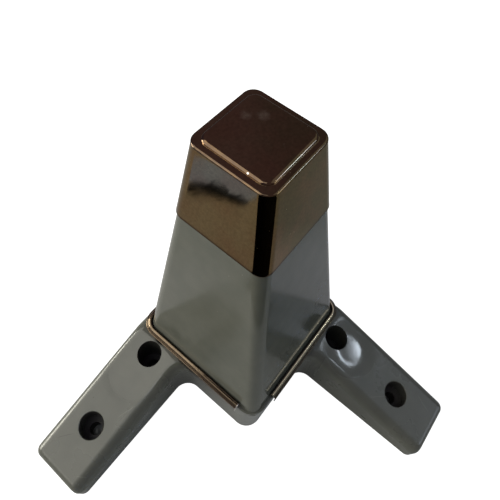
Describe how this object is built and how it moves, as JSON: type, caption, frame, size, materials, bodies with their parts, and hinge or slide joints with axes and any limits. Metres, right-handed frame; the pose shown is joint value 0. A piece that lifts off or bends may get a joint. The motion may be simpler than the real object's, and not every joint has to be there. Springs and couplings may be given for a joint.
{
  "type": "corner furniture leg",
  "caption": "Corner furniture leg with a tapering, leaning square post on a right-angled flange of two sloping screw wings, with a foot cap and a trim strip.",
  "frame": {"origin": "where the axis of the leg's base meets the mounting face", "axes": "+Z from the mounting face to the foot, +X and +Y along the two wings"},
  "size_m": [0.1338, 0.1338, 0.141],
  "materials": {
    "leg_plastic": "glossy moulded grey",
    "cap_finish": "dark bronze metallised",
    "trim_finish": "bright rose bronze metallised"
  },
  "bodies": {
    "root": {"leg_body": "leg_plastic", "foot_cap": "cap_finish", "trim_strip": "trim_finish"}
  },
  "joints": []
}
